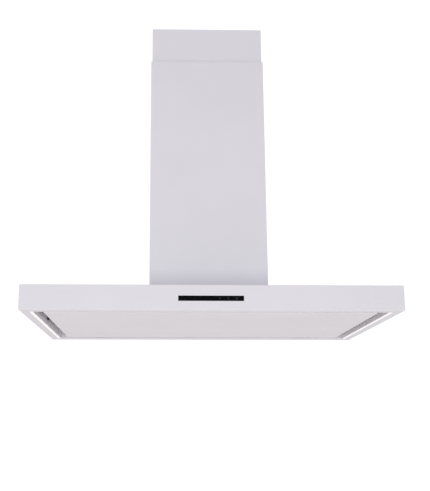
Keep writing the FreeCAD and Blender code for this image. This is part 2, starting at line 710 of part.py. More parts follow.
def scroll_halves():
    """Left and right scroll half, each with its round inlet and bell mouth."""
    outside = scroll_solid(SCROLL_WALL, SCROLL_HALF_WIDTH + SCROLL_WALL, BOX_TOP - BOX_SHEET)
    inside = scroll_solid(0.0, SCROLL_HALF_WIDTH, BOX_TOP)
    reach = SCROLL_HALF_WIDTH + SCROLL_WALL
    centre = Vector(0, SCROLL_AXIS_Y, SCROLL_AXIS_Z)
    inlets = rod(SCROLL_INLET_RADIUS, centre - X_AXIS * reach, centre + X_AXIS * reach)
    housing = cut(outside, [inside, inlets])
    halves = []
    for side in SIDES.values():
        wall = centre + X_AXIS * side * SCROLL_HALF_WIDTH
        bell = tube(SCROLL_INLET_RADIUS + SCROLL_WALL, SCROLL_INLET_RADIUS,
                    wall - X_AXIS * side * 4.0, wall + X_AXIS * side * SCROLL_WALL)
        half_space = box((0, side * reach), (-BOX_OUTER, BOX_OUTER), (CANOPY_TOP, BOX_TOP))
        halves.append(fuse([housing.common(half_space), bell]))
    return halves


def wheel_blade(angle):
    """One forward-curved blade, as long as the wheel."""
    middle_radius = (WHEEL_RADIUS + WHEEL_INNER_RADIUS) / 2
    start = Vector(-WHEEL_HALF_WIDTH, WHEEL_INNER_RADIUS + 0.5, 0)
    middle = Vector(-WHEEL_HALF_WIDTH, middle_radius, 0.5)
    end = Vector(-WHEEL_HALF_WIDTH, WHEEL_RADIUS - 1.5, 5.0)
    thickness = Vector(0, -0.5, 0.7)
    face_arc = Part.Arc(start, middle, end).toShape()
    back_arc = Part.Arc(end + thickness, middle + thickness, start + thickness).toShape()
    edges = [face_arc, Part.makeLine(end, end + thickness), back_arc,
             Part.makeLine(start + thickness, start)]
    blade = Part.Face(Part.Wire(edges)).extrude(X_AXIS * 2 * WHEEL_HALF_WIDTH)
    blade.rotate(Vector(0, 0, 0), X_AXIS, angle)
    return blade


def impeller_wheel():
    """Double-inlet wheel: end rings, middle disc, hub and blades."""
    origin = Vector(0, 0, 0)
    rings = []
    for side in SIDES.values():
        end = origin + X_AXIS * side * WHEEL_HALF_WIDTH
        rings.append(tube(WHEEL_RADIUS, WHEEL_INNER_RADIUS, end - X_AXIS * side * 2.5, end))
    disc = tube(WHEEL_RADIUS - 1.0, SHAFT_RADIUS, -X_AXIS * 1.0, X_AXIS * 1.0)
    hub = tube(12.0, SHAFT_RADIUS, -X_AXIS * 9.0, X_AXIS * 9.0)
    blades = [wheel_blade(360.0 * index / WHEEL_BLADES) for index in range(WHEEL_BLADES)]
    wheel = fuse([disc, hub] + rings + blades)
    wheel.translate(Vector(0, SCROLL_AXIS_Y, SCROLL_AXIS_Z))
    return wheel


MOTOR_FRONT_X = -13.0
MOTOR_REAR_X = -100.0
SPIDER_PLANE_X = -SCROLL_HALF_WIDTH - SCROLL_WALL
SPIDER_SHEET = 2.0
MOUNT_HEIGHT = 5.0
ARM_ANGLES = (90.0, 210.0, 330.0)


def on_blower_axis(x):
    return Vector(x, SCROLL_AXIS_Y, SCROLL_AXIS_Z)


def around_blower_axis(shapes):
    """Copies of shapes drawn along +Z from the blower axis, one set for each arm."""
    copies = []
    for angle in ARM_ANGLES:
        for shape in shapes:
            copies.append(shape.rotated(on_blower_axis(0), X_AXIS, angle - 90.0))
    return copies


def motor():
    """Motor body with end shields, cooling ribs and three fixing ears."""
    body = rod(MOTOR_RADIUS - 2.0, on_blower_axis(MOTOR_REAR_X + 4.0), on_blower_axis(MOTOR_FRONT_X - 4.0))
    shields = [rod(MOTOR_RADIUS - 6.0, on_blower_axis(MOTOR_REAR_X), on_blower_axis(MOTOR_FRONT_X))]
    ribs = []
    for index in range(12):
        x = MOTOR_REAR_X + 8.0 + index * 5.5
        ribs.append(rod(MOTOR_RADIUS, on_blower_axis(x), on_blower_axis(x + 2.0)))
    ear_x = SPIDER_PLANE_X - SPIDER_SHEET - MOUNT_HEIGHT
    ear = box((ear_x - SPIDER_SHEET, ear_x), (SCROLL_AXIS_Y - 8.0, SCROLL_AXIS_Y + 8.0),
              (SCROLL_AXIS_Z + MOTOR_RADIUS - 6.0, SCROLL_AXIS_Z + 58.0))
    bearing = rod(SHAFT_RADIUS + SHAFT_CLEARANCE, on_blower_axis(MOTOR_REAR_X + 6.0),
                  on_blower_axis(MOTOR_FRONT_X))
    return fuse([body] + shields + ribs + around_blower_axis([ear])).cut(bearing)


def motor_shaft():
    shaft = rod(SHAFT_RADIUS, on_blower_axis(MOTOR_REAR_X + 8.0), on_blower_axis(16.0))
    flat = box((-9.0, 16.0), (SCROLL_AXIS_Y - 4.0, SCROLL_AXIS_Y + 4.0),
               (SCROLL_AXIS_Z + 3.5, SCROLL_AXIS_Z + 5.0))
    return shaft.cut(flat)


def motor_spider():
    """Ring on the left scroll inlet with three arms that reach in to the motor."""
    start = on_blower_axis(SPIDER_PLANE_X - SPIDER_SHEET)
    end = on_blower_axis(SPIDER_PLANE_X)
    ring = tube(SCROLL_INLET_RADIUS + 12.0, SCROLL_INLET_RADIUS + SCROLL_WALL, start, end)
    arm = box((start.x, end.x), (SCROLL_AXIS_Y - 7.0, SCROLL_AXIS_Y + 7.0),
              (SCROLL_AXIS_Z + 46.0, SCROLL_AXIS_Z + SCROLL_INLET_RADIUS + 8.0))
    return fuse([ring] + around_blower_axis([arm]))


def motor_rubber_mounts():
    """Rubber buffers between the motor's ears and the spider's arms."""
    height = SCROLL_AXIS_Z + 52.0
    near = SPIDER_PLANE_X - SPIDER_SHEET
    buffer = rod(5.5, Vector(near - MOUNT_HEIGHT, SCROLL_AXIS_Y, height), Vector(near, SCROLL_AXIS_Y, height))
    groove = tube(6.0, 4.2, Vector(near - MOUNT_HEIGHT + 1.8, SCROLL_AXIS_Y, height),
                  Vector(near - 1.8, SCROLL_AXIS_Y, height))
    return Part.makeCompound(around_blower_axis([buffer.cut(groove)]))


# ---- outlet ------------------------------------------------------------------------------

def rounded_loft(extra, bottom, top):
    """Loft from the blower outlet's rectangle up to the duct circle, extra mm outside it."""
    (x0, x1), (y0, y1) = outlet_limits()
    low = [Vector(x1 + extra, y1 + extra, bottom), Vector(x0 - extra, y1 + extra, bottom),
           Vector(x0 - extra, y0 - extra, bottom), Vector(x1 + extra, y0 - extra, bottom)]
    radius = DUCT_RADIUS - DUCT_WALL + extra
    high = []
    for corner in range(4):
        quarter = [Vector(radius * math.cos(math.radians(45.0 + 90.0 * corner + turn)),
                          radius * math.sin(math.radians(45.0 + 90.0 * corner + turn)), top)
                   for turn in (0.0, 45.0, 90.0)]
        high.append(Part.Arc(*quarter).toShape())
    rectangle = Part.makePolygon(low + [low[0]])
    return Part.makeLoft([rectangle, Part.Wire(high)], True, True)


def outlet_adapter():
    """Square-to-round piece on the blower box, ending in the duct collar."""
    (x0, x1), (y0, y1) = outlet_limits()
    flange = box((x0 - 10.0, x1 + 10.0), (y0 - 10.0, y1 + 10.0), (BOX_TOP, BOX_TOP + DUCT_WALL))
    flange = flange.makeFillet(4.0, edges_along(flange, Z_AXIS))
    skirt = rounded_loft(DUCT_WALL, BOX_TOP, LOFT_TOP)
    collar = rod(DUCT_RADIUS, Z_AXIS * LOFT_TOP, Z_AXIS * COLLAR_TOP)
    bore = rod(DUCT_RADIUS - DUCT_WALL, Z_AXIS * LOFT_TOP, Z_AXIS * COLLAR_TOP)
    hollow = rounded_loft(0.0, BOX_TOP, LOFT_TOP)
    ledge_top = FLAP_PIN_Z - FLAP_SHEET / 2 - 0.35
    ledge = tube(DUCT_RADIUS - DUCT_WALL, 70.0, Z_AXIS * (ledge_top - 2.0), Z_AXIS * ledge_top)
    pin_hole = rod(FLAP_PIN_RADIUS, Vector(0, -DUCT_RADIUS, FLAP_PIN_Z), Vector(0, DUCT_RADIUS, FLAP_PIN_Z))
    open_piece = cut(fuse([flange, skirt, collar]), [hollow, bore])
    return fuse([open_piece, ledge]).cut(pin_hole)


def flap_pin():
    return rod(FLAP_PIN_RADIUS, Vector(0, -DUCT_RADIUS, FLAP_PIN_Z), Vector(0, DUCT_RADIUS, FLAP_PIN_Z))


def backdraught_flap(side):
    """Half disc with three knuckles on the pin; the two flaps' knuckles take turns along it."""
    plate_z = (FLAP_PIN_Z - FLAP_SHEET / 2, FLAP_PIN_Z + FLAP_SHEET / 2)
    disc = rod(FLAP_RADIUS, Z_AXIS * plate_z[0], Z_AXIS * plate_z[1])
    plate = disc.common(box((4.4, FLAP_RADIUS), (-FLAP_RADIUS, FLAP_RADIUS), plate_z))
    knuckle_length = 9.0
    centres = (-48.0, -8.0, 32.0)
    pieces = [plate]
    for centre in centres:
        y_range = (centre - knuckle_length / 2, centre + knuckle_length / 2)
        start = Vector(0, y_range[0], FLAP_PIN_Z)
        pieces.append(rod(3.6, start, start + Y_AXIS * knuckle_length))
        pieces.append(box((2.0, 4.6), y_range, plate_z))
    for x in (25.0, 45.0):
        rib_reach = math.sqrt(FLAP_RADIUS ** 2 - x ** 2) - 6.0
        pieces.append(box((x - 0.75, x + 0.75), (-rib_reach, rib_reach), (plate_z[1], plate_z[1] + 2.0)))
    flap = fuse(pieces)
    if side < 0:
        flap = mirrored_x(mirrored_y(flap))
    bore = rod(FLAP_PIN_RADIUS + 0.08, Vector(0, -DUCT_RADIUS, FLAP_PIN_Z),
               Vector(0, DUCT_RADIUS, FLAP_PIN_Z))
    return flap.cut(bore)


# ---- electrical parts on the blower box --------------------------------------------------

CONTROL_BOX_X = (-130.0, -92.0)
CONTROL_BOX_Y = (-65.0, 65.0)
CONTROL_BOX_HEIGHT = 80.0
CASE_WALL = 2.0
GLAND_THREAD_RADIUS = 8.0
GLAND_HEX_RADIUS = 10.5
GLAND_FLANGE_HEIGHT = 6.0
GLAND_CAP_HEIGHT = 14.0
GLAND_BORE_RADIUS = 4.2
GLAND_TAIL = 10.0               # thread inside the control box


def control_box():
    """Plastic case standing on the blower box, open towards the side wall."""
    z_range = (BOX_TOP, BOX_TOP + CONTROL_BOX_HEIGHT)
    case = box(CONTROL_BOX_X, CONTROL_BOX_Y, z_range)
    inside = box((CONTROL_BOX_X[0], CONTROL_BOX_X[1] - CASE_WALL),
                 (CONTROL_BOX_Y[0] + CASE_WALL, CONTROL_BOX_Y[1] - CASE_WALL),
                 (z_range[0] + CASE_WALL, z_range[1] - CASE_WALL))
    posts = []
    for y in (-52.0, 52.0):
        for z in (z_range[0] + 12.0, z_range[1] - 12.0):
            start = Vector(CONTROL_BOX_X[1] - CASE_WALL, y, z)
            posts.append(rod(3.0, start, start - X_AXIS * 6.0))
    gland_hole = rod(GLAND_THREAD_RADIUS, gland_seat() - Z_AXIS * CASE_WALL, gland_seat())
    return fuse([cut(case, [inside])] + posts).cut(gland_hole)


def control_box_lid():
    z_range = (BOX_TOP, BOX_TOP + CONTROL_BOX_HEIGHT)
    plate = box((CONTROL_BOX_X[0] - CASE_WALL, CONTROL_BOX_X[0]), CONTROL_BOX_Y, z_range)
    lip = box((CONTROL_BOX_X[0], CONTROL_BOX_X[0] + CASE_WALL),
              (CONTROL_BOX_Y[0] + CASE_WALL, CONTROL_BOX_Y[1] - CASE_WALL),
              (z_range[0] + CASE_WALL, z_range[1] - CASE_WALL))
    lip_hollow = box((CONTROL_BOX_X[0], CONTROL_BOX_X[0] + CASE_WALL),
                     (CONTROL_BOX_Y[0] + 2 * CASE_WALL, CONTROL_BOX_Y[1] - 2 * CASE_WALL),
                     (z_range[0] + 2 * CASE_WALL, z_range[1] - 2 * CASE_WALL))
    return fuse([plate, lip.cut(lip_hollow)])


def power_board_face_x():
    """The board's component side, on the posts of the control box."""
    return CONTROL_BOX_X[1] - CASE_WALL - 6.0 - 1.6


def power_board():
    """Board with a transformer, relays and a fuse holder."""
    face = power_board_face_x()
    low = BOX_TOP + 6.0
    high = BOX_TOP + CONTROL_BOX_HEIGHT - 6.0
    board = box((face, face + 1.6), (-58.0, 58.0), (low, high))
    transformer = box((face - 20.0, face), (20.0, 50.0), (low + 20.0, low + 46.0))
    relays = [box((face - 15.0, face), (y, y + 12.0), (low + 6.0, low + 26.0)) for y in (-18.0, -2.0)]
    fuse_holder = rod(3.2, Vector(face - 2.4, -8.0, low + 46.0), Vector(face - 2.4, 14.0, low + 46.0))
    return fuse([board, transformer, fuse_holder] + relays)


def terminal_block():
    """Screw terminals at the mains end of the board."""
    face = power_board_face_x()
    low = BOX_TOP + CONTROL_BOX_HEIGHT - 46.0
    body = box((face - 12.0, face), (-52.0, -28.0), (low, low + 16.0))
    wells = []
    for index in range(3):
        y = -48.0 + 8.0 * index
        wells.append(rod(2.2, Vector(face - 12.0, y, low + 5.0), Vector(face - 5.0, y, low + 5.0)))
        wells.append(box((face - 9.0, face - 4.0), (y - 2.5, y + 2.5), (low + 11.0, low + 16.0)))
    return cut(body, wells)


def gland_seat():
    """Centre of the gland's flange on the control box's top."""
    return Vector((CONTROL_BOX_X[0] + CONTROL_BOX_X[1]) / 2 - 3.0, -40.0, BOX_TOP + CONTROL_BOX_HEIGHT)


def mains_cable_gland():
    """Cable gland: threaded tail with its lock nut, hexagon flange and cap."""
    seat = gland_seat()
    tail = rod(GLAND_THREAD_RADIUS, seat - Z_AXIS * GLAND_TAIL, seat)
    flange = prism(hexagon(seat, GLAND_HEX_RADIUS), Z_AXIS * GLAND_FLANGE_HEIGHT)
    under = seat - Z_AXIS * CASE_WALL
    locknut = prism(hexagon(under, GLAND_HEX_RADIUS), -Z_AXIS * 4.0)
    cap_foot = seat + Z_AXIS * GLAND_FLANGE_HEIGHT
    cap = Part.makeCone(9.5, 6.5, GLAND_CAP_HEIGHT, cap_foot, Z_AXIS)
    bore = rod(GLAND_BORE_RADIUS, seat - Z_AXIS * GLAND_TAIL, cap_foot + Z_AXIS * GLAND_CAP_HEIGHT)
    return cut(fuse([tail, cap, flange, locknut]), [bore])


CAPACITOR_PLACE = (102.0, 98.0)
CAPACITOR_RADIUS = 16.0
CAPACITOR_HEIGHT = 62.0
CAPACITOR_TAB_HEIGHT = 8.0


def motor_capacitor():
    """Capacitor can standing on the blower box, with two tabs on its crown."""
    base = Vector(*CAPACITOR_PLACE, BOX_TOP)
    crown_z = BOX_TOP + CAPACITOR_HEIGHT
    can = rod(CAPACITOR_RADIUS, base, base + Z_AXIS * CAPACITOR_HEIGHT)
    crown = [edge for edge in can.Edges if edge.Closed and edge.CenterOfMass.z > crown_z - 0.01]
    can = can.makeFillet(2.5, crown)
    tabs = []
    for offset in (-5.0, 5.0):
        tabs.append(box((base.x + offset - 0.5, base.x + offset + 0.5), (base.y - 3.0, base.y + 3.0),
                        (crown_z - 1.0, crown_z + CAPACITOR_TAB_HEIGHT)))
    return fuse([can] + tabs)


DRIVER_CENTRE_X = 108.0
DRIVER_HALF_X = 16.0
DRIVER_HALF_Y = 55.0
DRIVER_HEIGHT = 24.0
DRIVER_FOOT_LENGTH = 11.0
DRIVER_FOOT_SHEET = 2.0
TERMINAL_PITCH = 6.0


def led_driver():
    """Low driver case with end feet and two rows of terminals."""
    z_top = BOX_TOP + DRIVER_HEIGHT
    across = (DRIVER_CENTRE_X - DRIVER_HALF_X, DRIVER_CENTRE_X + DRIVER_HALF_X)
    body = box(across, (-DRIVER_HALF_Y, DRIVER_HALF_Y), (BOX_TOP, z_top))
    body = body.makeFillet(1.5, edges_along(body, Y_AXIS))
    feet = []
    wells = []
    for end in (-1, 1):
        y_range = (end * DRIVER_HALF_Y, end * (DRIVER_HALF_Y + DRIVER_FOOT_LENGTH))
        foot = box((across[0] + 5.0, across[1] - 5.0), y_range, (BOX_TOP, BOX_TOP + DRIVER_FOOT_SHEET))
        screw_place = Vector(DRIVER_CENTRE_X, sum(y_range) / 2, BOX_TOP)
        feet.append(foot.cut(rod(2.2, screw_place, screw_place + Z_AXIS * DRIVER_FOOT_SHEET)))
        for step in (-1.5, -0.5, 0.5, 1.5):
            mouth = Vector(DRIVER_CENTRE_X + step * TERMINAL_PITCH, end * (DRIVER_HALF_Y - 5.0), z_top)
            wells.append(rod(1.6, mouth - Z_AXIS * 4.0, mouth))
    return cut(fuse([body] + feet), wells)


# ---- grease filters ----------------------------------------------------------------------

LATCH_HALF_X = 18.0
LATCH_REAR_Y = -104.0
LATCH_FRONT_Y = -122.0
LATCH_DEPTH = 5.0
TONGUE_HALF_X = 7.0
HANDLE_HALF_X = 30.0
HANDLE_REAR_Y = -88.0
LATCH_GAP = 0.4


def filter_z():
    return (LINER_Z - FILTER_DEPTH, LINER_Z)


def latch_z():
    low = LINER_Z - FILTER_DEPTH
    return (low + 0.6, low + 0.6 + LATCH_DEPTH)


def tongue_z():
    low = latch_z()[0] + 1.5
    return (low, low + 2.0)


def filter_frame(side):
    """Aluminium border with a handle plate and a pocket for the latch."""
    x = filter_centre(side)
    half_x = FILTER_X / 2
    half_y = FILTER_Y / 2
    rim = box((x - half_x, x + half_x), (-half_y, half_y), filter_z())
    rim = rim.makeFillet(4.0, edges_along(rim, Z_AXIS))
    window = box((x - half_x + FILTER_BORDER, x + half_x - FILTER_BORDER),
                 (-half_y + FILTER_BORDER, half_y - FILTER_BORDER), filter_z())
    handle = box((x - HANDLE_HALF_X, x + HANDLE_HALF_X), (-half_y + FILTER_BORDER, HANDLE_REAR_Y), filter_z())
    pocket = box((x - LATCH_HALF_X - LATCH_GAP, x + LATCH_HALF_X + LATCH_GAP),
                 (LATCH_FRONT_Y - LATCH_GAP, LATCH_REAR_Y + LATCH_TRAVEL + LATCH_GAP),
                 (filter_z()[0], latch_z()[1] + LATCH_GAP))
    slit = box((x - TONGUE_HALF_X - LATCH_GAP, x + TONGUE_HALF_X + LATCH_GAP), (-half_y, LATCH_FRONT_Y),
               (tongue_z()[0] - LATCH_GAP, tongue_z()[1] + LATCH_GAP))
    return cut(fuse([rim.cut(window), handle]), [pocket, slit])


def filter_mesh(side):
    """Corrugated filter pad inside the border, notched round the handle plate."""
    x = filter_centre(side)
    half_x = FILTER_X / 2 - FILTER_BORDER
    half_y = FILTER_Y / 2 - FILTER_BORDER
    folds = 26
    pitch = 2 * half_x / folds
    low, high = LINER_Z - FILTER_DEPTH + 1.5, LINER_Z - 2.5
    sheet = 0.8
    upper = []
    for index in range(folds + 1):
        z = high if index % 2 else low + sheet
        upper.append(Vector(x - half_x + pitch * index, -half_y, z))
    lower = [point - Z_AXIS * sheet for point in reversed(upper)]
    pad = prism(upper + lower, Y_AXIS * 2 * half_y)
    handle_space = box((x - HANDLE_HALF_X, x + HANDLE_HALF_X), (-half_y, HANDLE_REAR_Y), filter_z())
    return pad.cut(handle_space)


def filter_latch(side):
    """Sliding catch: finger block with a ridge, and a tongue through the filter's border."""
    x = filter_centre(side)
    slider = box((x - LATCH_HALF_X, x + LATCH_HALF_X), (LATCH_FRONT_Y, LATCH_REAR_Y), latch_z())
    dish = box((x - LATCH_HALF_X + 3.0, x + LATCH_HALF_X - 3.0), (LATCH_FRONT_Y + 5.0, LATCH_REAR_Y - 3.0),
               (latch_z()[0], latch_z()[0] + 2.5))
    tongue = box((x - TONGUE_HALF_X, x + TONGUE_HALF_X), (-FILTER_Y / 2 - 4.0, LATCH_FRONT_Y), tongue_z())
    return fuse([slider.cut(dish), tongue])


# ---- suction panel -----------------------------------------------------------------------

def with_round_foot(solid, radius):
    """A block with its upright edges and its lower edges rounded by one radius."""
    solid = solid.makeFillet(radius, edges_along(solid, Z_AXIS))
    foot = solid.BoundBox.ZMin + 0.01
    return solid.makeFillet(radius, [edge for edge in solid.Edges if edge.BoundBox.ZMax < foot])


def suction_panel_skin():
    """Folded tray; its rear wall is notched at the hinges."""
    half_x = PANEL_X / 2
    half_y = PANEL_Y / 2
    outside = block(half_x, half_y, (PANEL_Z, PANEL_Z + PANEL_DEPTH))
    outside = with_round_foot(outside, PANEL_EDGE_RADIUS)
    inside = block(half_x - PANEL_SHEET, half_y - PANEL_SHEET, (PANEL_Z + PANEL_SHEET, PANEL_Z + PANEL_DEPTH))
    inside = with_round_foot(inside, PANEL_EDGE_RADIUS - PANEL_SHEET)
    notches = []
    for side in SIDES.values():
        x = side * HINGE_X
        notches.append(box((x - 20.0, x + 20.0), (half_y - PANEL_SHEET, half_y),
                           (PANEL_Z + 2.0, PANEL_Z + PANEL_DEPTH)))
    return cut(outside, [inside] + notches)


def panel_stiffeners():
    """Two top-hat channels spot-welded across the inside of the panel."""
    floor = PANEL_Z + PANEL_SHEET
    channels = []
    for y in (-110.0, 90.0):
        outline = []
        for offset, rise in ((-26.0, 0.0), (-14.0, 0.0), (-10.0, 9.0), (10.0, 9.0), (14.0, 0.0), (26.0, 0.0)):
            outline.append(Vector(-370.0, y + offset, floor + rise))
        back = [point + Z_AXIS * PANEL_SHEET for point in reversed(outline)]
        channels.append(prism(outline + back, X_AXIS * 740.0))
    return Part.makeCompound(channels)


def hinge_leaves():
    """Arms that stand on the panel and turn on the hinge pins."""
    floor = PANEL_Z + PANEL_SHEET
    leaves = []
    for side in SIDES.values():
        x = side * HINGE_X
        foot = box((x - 15.0, x + 15.0), (HINGE_AXIS_Y - 30.0, HINGE_AXIS_Y + 8.0), (floor, floor + 1.5))
        arm = box((x - 9.0, x + 9.0), (HINGE_AXIS_Y - 4.5, HINGE_AXIS_Y + 4.5), (floor, HINGE_AXIS_Z))
        eye = rod(4.5, Vector(x - 9.0, HINGE_AXIS_Y, HINGE_AXIS_Z),
                  Vector(x + 9.0, HINGE_AXIS_Y, HINGE_AXIS_Z))
        bore = rod(HINGE_PIN_RADIUS + HINGE_CLEARANCE, Vector(x - 9.0, HINGE_AXIS_Y, HINGE_AXIS_Z),
                   Vector(x + 9.0, HINGE_AXIS_Y, HINGE_AXIS_Z))
        leaves.append(fuse([foot, arm, eye]).cut(bore))
    return Part.makeCompound(leaves)


def hinge_brackets():
    """Forked brackets under the liner plate, one round each hinge arm."""
    brackets = []
    for side in SIDES.values():
        x = side * HINGE_X
        base = box((x - 20.0, x + 20.0), (HINGE_AXIS_Y - 14.0, HINGE_AXIS_Y + 14.0), (LINER_Z - 1.5, LINER_Z))
        pieces = [base]
        for cheek in (-1, 1):
            x_range = (x + cheek * 10.0, x + cheek * 12.0)
            pieces.append(box(x_range, (HINGE_AXIS_Y - 5.0, HINGE_AXIS_Y + 5.0),
                              (HINGE_AXIS_Z, LINER_Z - 1.5)))
            pieces.append(rod(5.0, Vector(min(x_range), HINGE_AXIS_Y, HINGE_AXIS_Z),
                              Vector(max(x_range), HINGE_AXIS_Y, HINGE_AXIS_Z)))
        hole = rod(HINGE_PIN_RADIUS, Vector(x - 12.0, HINGE_AXIS_Y, HINGE_AXIS_Z),
                   Vector(x + 12.0, HINGE_AXIS_Y, HINGE_AXIS_Z))
        brackets.append(fuse(pieces).cut(hole))
    return Part.makeCompound(brackets)


def hinge_pins():
    """Pins with a flat head at one end, held by the brackets' cheeks."""
    pins = []
    for side in SIDES.values():
        x = side * HINGE_X
        shank = rod(HINGE_PIN_RADIUS, Vector(x - 14.0, HINGE_AXIS_Y, HINGE_AXIS_Z),
                    Vector(x + 12.0, HINGE_AXIS_Y, HINGE_AXIS_Z))
        head = rod(3.5, Vector(x + 12.0, HINGE_AXIS_Y, HINGE_AXIS_Z),
                   Vector(x + 13.5, HINGE_AXIS_Y, HINGE_AXIS_Z))
        pins.append(fuse([shank, head]))
    return Part.makeCompound(pins)


def catch_limits_x():
    """Inner and outer limit of the catch on the +X side."""
    outer = RIM_INNER_X - LIGHT_WIDTH
    return (outer - CATCH_REACH, outer)


def panel_catches():
    """Plastic spring jaws on the inner side of the light bars, open downwards."""
    bottom, top = (RIM_Z + rise for rise in CATCH_ABOVE_RIM)
    body = box(catch_limits_x(), (CATCH_Y - CATCH_HALF_Y, CATCH_Y + CATCH_HALF_Y), (bottom, top))
    foot_edges = [edge for edge in edges_along(body, X_AXIS) if edge.CenterOfMass.z < bottom + 0.01]
    body = body.makeFillet(1.2, foot_edges)
    throat_x = (catch_limits_x()[0], catch_limits_x()[1] - CATCH_BACK)
    throat_y = (CATCH_Y - CATCH_THROAT_RADIUS, CATCH_Y + CATCH_THROAT_RADIUS)
    throat = box(throat_x, throat_y, (bottom, STUD_Z))
    seat = rod(CATCH_THROAT_RADIUS, Vector(throat_x[0], CATCH_Y, STUD_Z),
               Vector(throat_x[1], CATCH_Y, STUD_Z))
    jaw = cut(body, [throat, seat])
    return Part.makeCompound([to_side(jaw, side) for side in SIDES.values()])


def catch_studs():
    """Studs on small plates inside the panel's side walls, snapped into the catches."""
    wall = PANEL_X / 2 - PANEL_SHEET
    foot = PANEL_Z + PANEL_EDGE_RADIUS + 0.5
    inner = wall - STUD_PLATE_SHEET
    along = (CATCH_Y - STUD_PLATE_HALF_Y, CATCH_Y + STUD_PLATE_HALF_Y)
    plate = box((inner, wall), along, (foot, STUD_Z + 4.0))
    stud_end = catch_limits_x()[1] - CATCH_BACK - CATCH_STUD_END_GAP
    stud = rod(CATCH_STUD_RADIUS, Vector(inner, CATCH_Y, STUD_Z), Vector(stud_end, CATCH_Y, STUD_Z))
    piece = fuse([plate, stud])
    return Part.makeCompound([to_side(piece, side) for side in SIDES.values()])


# ---- all nodes ---------------------------------------------------------------------------

def all_nodes():
    """Every named piece of the hood."""
    nodes = {"ceiling_plate": ceiling_plate(), "upper_frame_band": upper_frame_band()}
    upper = upper_upright()
    lower = lower_upright()
    for corner, signs in CORNERS.items():
        nodes["upper_upright_" + corner] = to_corner(upper, *signs)
        nodes["lower_upright_" + corner] = to_corner(lower, *signs)
    for name, pieces in (("upper_cover", upper_cover()), ("lower_cover", lower_cover())):
        for part_name, piece in zip(("front", "rear", "screws"), pieces):
            nodes[name + "_" + part_name] = piece
    nodes["height_clamp_screws"] = height_clamp_screws()
    nodes["frame_screws"] = frame_screws()
    nodes["blower_box"] = blower_box()
    nodes["base_bolts"] = base_bolts()
    nodes["canopy_shell"] = canopy_shell()
    nodes["inner_liner"] = inner_liner()
    nodes["filter_channels"] = filter_channels()

    scroll_left, scroll_right = scroll_halves()
    nodes["blower_scroll_left"] = scroll_left
    nodes["blower_scroll_right"] = scroll_right
    nodes["impeller_wheel"] = impeller_wheel()
    nodes["motor"] = motor()
    nodes["motor_shaft"] = motor_shaft()
    nodes["motor_spider"] = motor_spider()
    nodes["motor_rubber_mounts"] = motor_rubber_mounts()
    nodes["outlet_adapter"] = outlet_adapter()
    nodes["flap_pin"] = flap_pin()

    nodes["control_box"] = control_box()
    nodes["control_box_lid"] = control_box_lid()
    nodes["power_board"] = power_board()
    nodes["terminal_block"] = terminal_block()
    nodes["mains_cable_gland"] = mains_cable_gland()
    nodes["motor_capacitor"] = motor_capacitor()
    nodes["led_driver"] = led_driver()
    nodes["control_glass"] = control_glass()
    nodes["touch_board"] = touch_board()
    nodes["touch_board_holder"] = touch_board_holder()

    profile = light_profile()
    diffuser = light_diffuser()
    strip = light_strip()
    nodes["led_strips"] = Part.makeCompound([to_side(strip, sign) for sign in SIDES.values()])
    nodes["led_profiles"] = Part.makeCompound([to_side(profile, sign) for sign in SIDES.values()])
    nodes["led_diffusers"] = Part.makeCompound([to_side(diffuser, sign) for sign in SIDES.values()])
    for side, sign in SIDES.items():
        nodes["backdraught_flap_" + side] = backdraught_flap(sign)
        nodes["filter_frame_" + side] = filter_frame(sign)
        nodes["filter_mesh_" + side] = filter_mesh(sign)
        nodes["filter_latch_" + side] = filter_latch(sign)

    nodes["suction_panel_skin"] = suction_panel_skin()
    nodes["panel_stiffeners"] = panel_stiffeners()
    nodes["hinge_leaves"] = hinge_leaves()
    nodes["hinge_brackets"] = hinge_brackets()
    nodes["hinge_pins"] = hinge_pins()
    nodes["panel_catches"] = panel_catches()
    nodes["catch_studs"] = catch_studs()
    return nodes


os.makedirs("parts", exist_ok=True)
for node_name, node_shape in all_nodes().items():
    node_shape.exportStep("parts/" + node_name + ".step")
    print(node_name, "solids", len(node_shape.Solids), "valid", node_shape.isValid(),
          "cm3", round(node_shape.Volume / 1000.0, 2))
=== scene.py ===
"""Island range hood: looks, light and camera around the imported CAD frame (metres, +Z up)."""
import json
import math

import bmesh
import bpy
from mathutils import Matrix, Vector


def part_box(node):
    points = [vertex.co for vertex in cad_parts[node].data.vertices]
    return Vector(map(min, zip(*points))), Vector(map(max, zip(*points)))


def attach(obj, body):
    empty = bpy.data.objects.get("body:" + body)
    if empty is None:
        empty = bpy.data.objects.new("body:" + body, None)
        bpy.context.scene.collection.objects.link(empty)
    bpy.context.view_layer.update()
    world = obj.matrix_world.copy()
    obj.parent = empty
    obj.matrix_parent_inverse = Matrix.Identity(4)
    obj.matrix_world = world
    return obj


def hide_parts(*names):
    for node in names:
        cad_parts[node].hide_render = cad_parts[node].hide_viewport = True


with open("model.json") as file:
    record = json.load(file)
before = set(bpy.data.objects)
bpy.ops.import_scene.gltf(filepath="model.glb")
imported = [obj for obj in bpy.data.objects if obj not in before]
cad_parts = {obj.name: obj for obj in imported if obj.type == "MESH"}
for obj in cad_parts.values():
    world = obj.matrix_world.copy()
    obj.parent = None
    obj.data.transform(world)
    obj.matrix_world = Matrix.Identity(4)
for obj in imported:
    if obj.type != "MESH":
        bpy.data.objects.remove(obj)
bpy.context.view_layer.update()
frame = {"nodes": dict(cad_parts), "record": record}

NODES = frame["nodes"]
MM = 0.001

# ---- camera ------------------------------------------------------------------------------

LENS_MM = 59.874
SENSOR_WIDTH_MM = 36.0
CAMERA_SHIFT_X = 0.0692
CAMERA_YAW = math.radians(-1.129)
CAMERA_PITCH = math.radians(13.133)
CAMERA_ROLL = math.radians(-0.009)
CAMERA_FROM_CANOPY = Vector((-0.1102, -2.1771, -0.2843))   # from the underside's centre
CAMERA_REACH = 100.0


